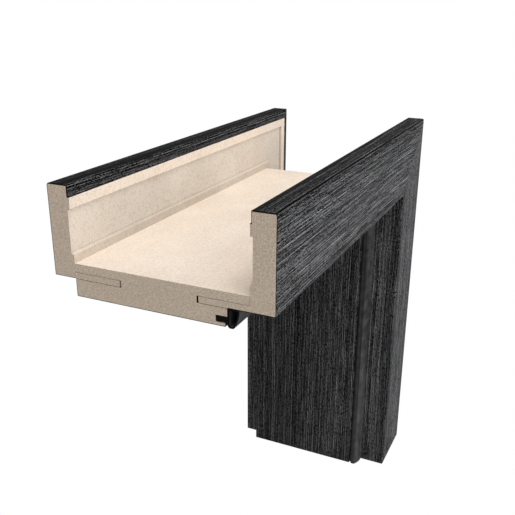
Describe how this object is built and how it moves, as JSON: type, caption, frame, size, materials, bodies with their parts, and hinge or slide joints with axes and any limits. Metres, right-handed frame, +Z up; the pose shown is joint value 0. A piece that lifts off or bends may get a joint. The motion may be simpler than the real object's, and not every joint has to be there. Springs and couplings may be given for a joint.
{
  "type": "door casing frame",
  "caption": "Mitred upper corner section of an adjustable wrapped MDF door lining with casings on both sides and a door seal.",
  "frame": {"origin": "on the wall-side face of the jamb lining, in the middle of its depth, level with the opening face of the head lining", "axes": "+X from the doorway into the wall, +Y from the door leaf side to the adjustable side, +Z up"},
  "size_m": [0.34, 0.153, 0.342],
  "materials": {
    "mdf": "matte",
    "foil": "satin",
    "seal": "matte"
  },
  "bodies": {
    "fixed_frame": {"head_lining": "mdf", "jamb_lining": "mdf", "head_lining_foil": "foil", "jamb_lining_foil": "foil", "head_front_casing": "mdf", "jamb_front_casing": "mdf", "head_front_casing_foil": "foil", "jamb_front_casing_foil": "foil", "head_rebate_foil": "foil", "jamb_rebate_foil": "foil", "head_seal": "seal", "jamb_seal": "seal"},
    "rear_casing": {"head_rear_casing": "mdf", "jamb_rear_casing": "mdf", "head_rear_casing_foil": "foil", "jamb_rear_casing_foil": "foil"}
  },
  "joints": [
    {"name": "rear_casing_slide", "type": "slide", "parent": "fixed_frame", "child": "rear_casing", "axis": [0, 1, 0], "range_m": [0, 0.02]}
  ]
}
